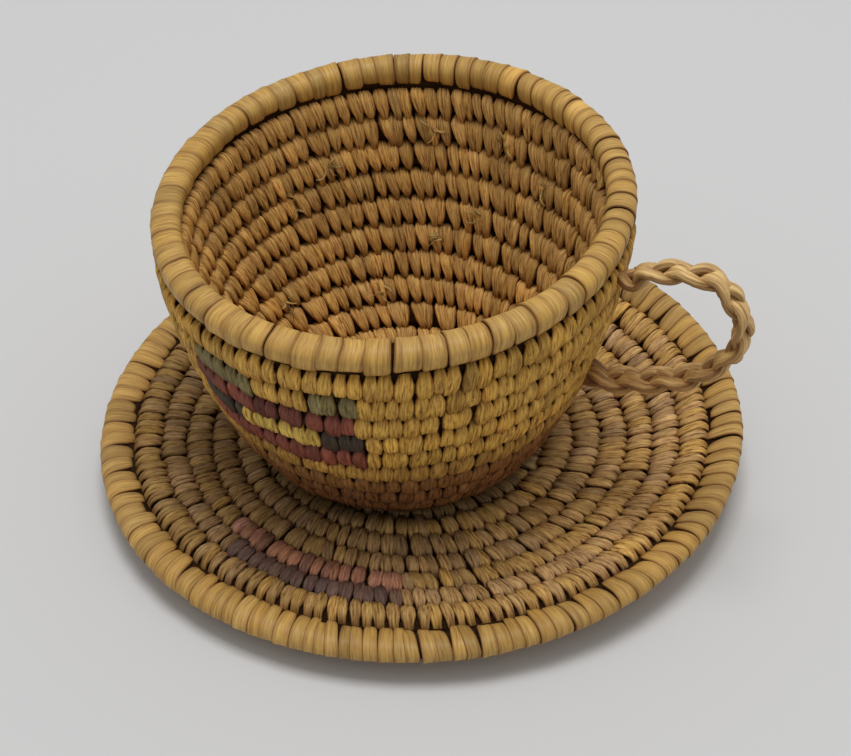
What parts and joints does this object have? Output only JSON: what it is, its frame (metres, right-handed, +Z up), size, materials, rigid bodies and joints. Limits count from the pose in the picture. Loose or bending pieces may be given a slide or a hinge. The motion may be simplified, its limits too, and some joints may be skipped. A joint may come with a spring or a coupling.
{
  "type": "coiled grass teacup and saucer",
  "caption": "Coiled basketry teacup with a flared bowl, bound rim, dyed stitch blocks and a plaited handle, standing on a shallow coiled saucer; the cup lifts off.",
  "frame": {"origin": "centre of the saucer's flat underside", "axes": "+Z up, +X from the cup's axis towards the handle"},
  "size_m": [0.1206, 0.1194, 0.0646],
  "materials": {
    "cup_grass": "sewn dry grass, golden tan, matt with a faint sheen along the fibres",
    "saucer_grass": "sewn dry grass, greyish tan, matt",
    "rim_splint": "broad smooth grass splints, golden, satin",
    "red_splint": "grass splints dyed a faded rust red, matt",
    "dark_splint": "grass splints dyed near black, matt",
    "green_splint": "grass splints dyed a faint olive, matt",
    "handle_grass": "plaited flat grass strips, tan to brown, satin"
  },
  "bodies": {
    "saucer": {"saucer_sewn_coil": "saucer_grass", "saucer_start_knot": "saucer_grass", "saucer_dark_stitches": "dark_splint", "saucer_red_stitches": "red_splint", "saucer_rim_binding": "rim_splint"},
    "cup": {"cup_sewn_coil": "cup_grass", "cup_start_knot": "cup_grass", "cup_green_stitches_right": "green_splint", "cup_green_stitches_left": "green_splint", "cup_red_stitches_upper": "red_splint", "cup_dark_stitches_right": "dark_splint", "cup_dark_stitches_left": "dark_splint", "cup_red_stitches_lower": "red_splint", "cup_rim_binding": "rim_splint", "handle_strand_1": "handle_grass", "handle_strand_2": "handle_grass", "handle_strand_3": "handle_grass"}
  },
  "joints": [
    {"name": "cup_lift", "type": "slide", "parent": "saucer", "child": "cup", "axis": [0, 0, 1], "range_m": [0, 0.08]}
  ]
}
